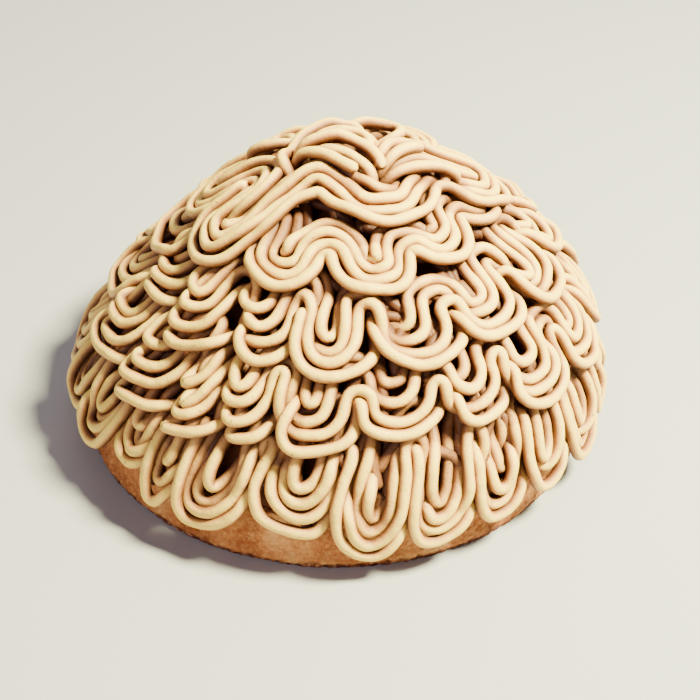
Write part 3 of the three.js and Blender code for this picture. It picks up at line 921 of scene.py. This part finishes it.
def core_profile():
    arcs = np.linspace(MER_ARC[-1] - 6, 0, 60)
    r, z = np.interp(arcs, MER_ARC, MER_R), np.interp(arcs, MER_ARC, MER_Z)
    out = normal_at(90 + 0 * arcs, arcs)
    r = np.maximum(0, r - CORE_DEPTH * out[:, 0])
    z = z - CORE_DEPTH * out[:, 2]
    r = np.minimum(r, CORE_WAIST + 0.25 * np.maximum(0, z - DOME_BELLY))
    rows = [(0, CORE_FOOT), (40, CORE_FOOT), (66, CORE_FOOT)]
    rows += [(float(a), float(b)) for a, b in zip(r, z) if b > CORE_FOOT + 1 and a > 0.3]
    rows.append((0, float(z[-1])))
    return rows


def core_shape(v):
    """Leans the core like the dome, and makes it lumpy."""
    out = v.copy()
    out[:, 0] += lean(v[:, 2])
    for i, p in enumerate(out):
        lump = noise.fractal(Vector(p) * 0.11, 1.0, 2.0, 3)
        flat = Vector((p[0], p[1], 0))
        out[i] = p + np.array(flat.normalized() if flat.length > 1 else (0, 0, 1)) * lump * 0.8
    return out, np.full(len(out), 0.5)


# ---------------------------------------------------------------- the baked shell
LIP_HEIGHT, LIP_WIDTH = 2.2, 1.8       # where the shell's edge stands out, and how softly
ROUGH_FROM = 68                        # radius from which its crumb shows
DARK_HEIGHT, DARK_FADE = 2.3, 1.4      # the dark lower edge, and how softly it ends


def crust_radius(z):
    rise = z / CRUST_HEIGHT
    return (CRUST_RADIUS - CRUST_LIP - CRUST_TAPER * rise * rise
            + CRUST_LIP * np.exp(-(((z - LIP_HEIGHT) / LIP_WIDTH) ** 2)))


def crust_profile():
    levels = np.concatenate([np.linspace(0, 5, 14), np.linspace(5.5, CRUST_HEIGHT, 18)])
    rows = [(r, 0.0) for r in (0, 30, 60, 72)]
    rows += [(float(crust_radius(z)), float(z)) for z in levels]
    rows += [(r, CRUST_HEIGHT) for r in (66, 50, 25, 0)]
    return rows


def crust_shape(v):
    """Crumb and shallow hollows in the shell's side, with a dark, ragged lower edge."""
    out = v.copy()
    tone = np.zeros(len(v))
    for i, p in enumerate(v):
        r = math.hypot(p[0], p[1])
        if r < ROUGH_FROM:
            continue
        q = Vector(p)
        crumb = abs(noise.fractal(q * 0.42, 0.9, 2.1, 5))
        hollow = noise.noise(q * 0.09) + 0.5
        edge = math.exp(-((p[2] - 1.2) / 1.6) ** 2)
        pull = 0.9 * crumb + 0.35 * hollow + edge * 0.8 * abs(noise.noise(q * 0.8))
        out[i, :2] *= (r - pull) / r
        ragged = DARK_HEIGHT + 1.0 * noise.noise(q * 0.25) + 1.0 * noise.noise(q * 0.9)
        tone[i] = min(1.0, max(0.0, (ragged - p[2]) / DARK_FADE))
    return out, tone


lathe_object("cream_core", core_profile(), 120, CORE_PAINTED_SHADE, "chestnut_cream", core_shape)
lathe_object("crust_shell", crust_profile(), 420, CRUST, "tart_crust", crust_shape)

# ---------------------------------------------------------------- floor, light, camera
def floor():
    """A plain grey floor under the tart."""
    size = 3.0
    mesh = bpy.data.meshes.new("floor")
    mesh.from_pydata([(-size, -size, 0), (size, -size, 0), (size, size, 0), (-size, size, 0)],
                     [], [(0, 1, 2, 3)])
    mat, _, shader = node_material("floor_paint")
    shader.inputs["Base Color"].default_value = (0.40, 0.40, 0.41, 1)
    shader.inputs["Roughness"].default_value = 0.7
    mesh.materials.append(mat)
    obj = bpy.data.objects.new("floor", mesh)
    bpy.context.scene.collection.objects.link(obj)


def area_light(name, place, target, size, power, colour):
    data = bpy.data.lights.new(name, "AREA")
    data.shape = "DISK"
    data.size = size
    data.energy = power
    data.color = colour
    obj = bpy.data.objects.new(name, data)
    obj.location = place
    obj.rotation_euler = (Vector(target) - Vector(place)).to_track_quat("-Z", "Y").to_euler()
    bpy.context.scene.collection.objects.link(obj)


floor()
area_light("key", (0.42, -0.10, 0.70), (0, 0, 0.04), 0.20, 53.0, (1.0, 0.97, 0.59))
area_light("fill", (-0.55, -0.60, 0.50), (0, 0, 0.03), 0.80, 3.3, (1.0, 0.87, 0.98))
area_light("back", (-0.10, 0.70, 0.60), (0, 0, 0.03), 0.70, 2.4, (1.0, 0.94, 0.90))
world = bpy.data.worlds.new("studio")
world.use_nodes = True
world.node_tree.nodes["Background"].inputs[0].default_value = (1.0, 0.93, 0.98, 1)
world.node_tree.nodes["Background"].inputs[1].default_value = 0.15
bpy.context.scene.world = world

# the camera looks down at the front
IMAGE_WIDTH, FOCAL_PIXELS, SENSOR = 700, 1526.7, 36.0
CAMERA_PLACE = (-0.008018, -0.358954, 0.298898)
PITCH_DOWN, YAW, ROLL = math.radians(38.215), math.radians(-1.990), math.radians(1.344)
right = Vector((math.cos(YAW), math.sin(YAW), 0))
ahead = Vector((-math.sin(YAW), math.cos(YAW), 0))
forward = ahead * math.cos(PITCH_DOWN) - Vector((0, 0, math.sin(PITCH_DOWN)))
upward = ahead * math.sin(PITCH_DOWN) + Vector((0, 0, math.cos(PITCH_DOWN)))
cam_x = right * math.cos(ROLL) + upward * math.sin(ROLL)
cam_y = upward * math.cos(ROLL) - right * math.sin(ROLL)
data = bpy.data.cameras.new("camera")
data.sensor_width = SENSOR
data.lens = SENSOR * FOCAL_PIXELS / IMAGE_WIDTH
data.clip_start = 0.01
camera = bpy.data.objects.new("camera", data)
basis = Matrix((cam_x, cam_y, -forward)).transposed().to_4x4()
camera.matrix_world = Matrix.Translation(CAMERA_PLACE) @ basis
bpy.context.scene.collection.objects.link(camera)
bpy.context.scene.camera = camera
